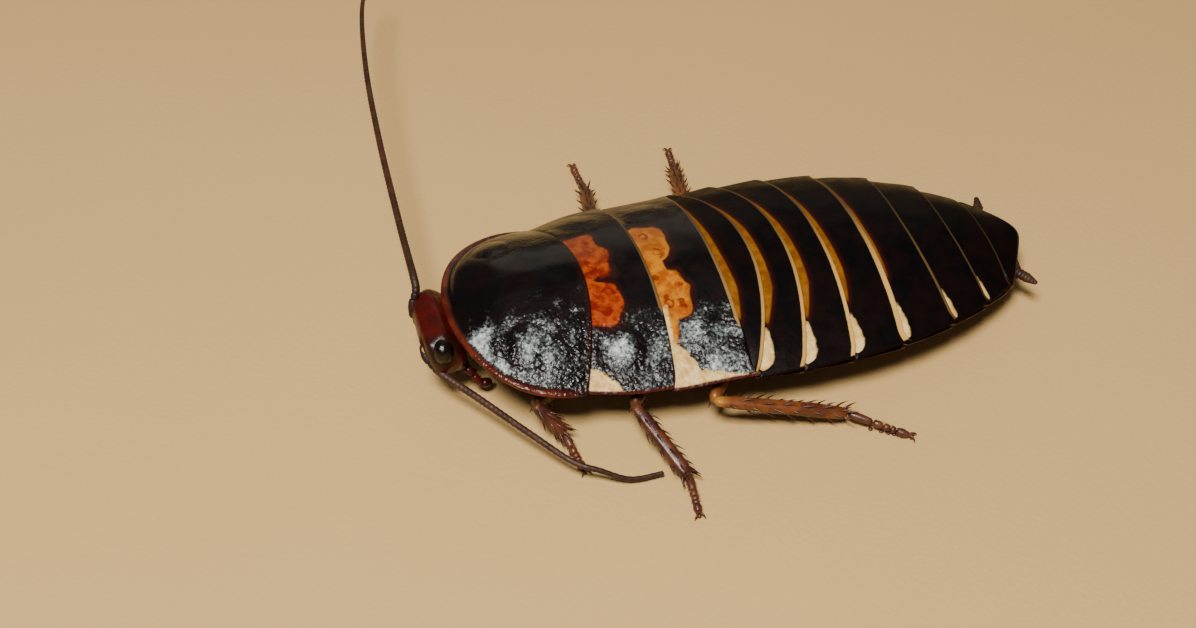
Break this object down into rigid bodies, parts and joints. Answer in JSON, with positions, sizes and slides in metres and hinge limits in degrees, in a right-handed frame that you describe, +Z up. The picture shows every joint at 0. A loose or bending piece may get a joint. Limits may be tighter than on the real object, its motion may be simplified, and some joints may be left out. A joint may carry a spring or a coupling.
{
  "type": "wingless banded cockroach model",
  "caption": "Life-size still model of a wingless cockroach with a black shield, orange patches and pale banded abdomen, standing on its spiny legs with its feelers out",
  "frame": {"origin": "middle of the box of the whole model, on the floor it stands on", "axes": "+Z up, head towards -Y, tail towards +Y, the animal's left side towards +X"},
  "size_m": [0.0594, 0.0458, 0.0095],
  "materials": {
    "shell": "polished black cuticle with orange and cream bands, finely grained",
    "underside": "dark maroon cuticle, satin",
    "head": "glossy red-brown cuticle",
    "eye": "smooth black, very glossy",
    "leg": "red-brown cuticle, satin to glossy, paler at the joints",
    "feeler": "dark brown, finely ringed"
  },
  "bodies": {
    "root": {"pronotum": "shell", "mesonotum": "shell", "metanotum": "shell", "abdomen_1": "shell", "abdomen_2": "shell", "abdomen_3": "shell", "abdomen_4": "shell", "abdomen_5": "shell", "abdomen_6": "shell", "abdomen_7": "shell", "tail_plate": "shell", "prothorax": "underside", "mesothorax": "underside", "metathorax": "underside", "cercus_left": "underside", "cercus_right": "underside", "coxa_front_left": "underside", "coxa_front_right": "underside", "coxa_middle_left": "underside", "coxa_middle_right": "underside", "coxa_hind_left": "underside", "coxa_hind_right": "underside", "head": "head", "labrum": "head", "eye_left": "eye", "eye_right": "eye", "femur_front_left": "leg", "tibia_front_left": "leg", "tarsus_front_left": "leg", "femur_front_right": "leg", "tibia_front_right": "leg", "tarsus_front_right": "leg", "femur_middle_left": "leg", "tibia_middle_left": "leg", "tarsus_middle_left": "leg", "femur_middle_right": "leg", "tibia_middle_right": "leg", "tarsus_middle_right": "leg", "femur_hind_left": "leg", "tibia_hind_left": "leg", "tarsus_hind_left": "leg", "femur_hind_right": "leg", "tibia_hind_right": "leg", "tarsus_hind_right": "leg", "palp_left": "leg", "palp_right": "leg", "antenna_left_base": "feeler", "antenna_left_1": "feeler", "antenna_left_2": "feeler", "antenna_left_3": "feeler", "antenna_right_base": "feeler", "antenna_right_1": "feeler", "antenna_right_2": "feeler", "antenna_right_3": "feeler"}
  },
  "joints": []
}
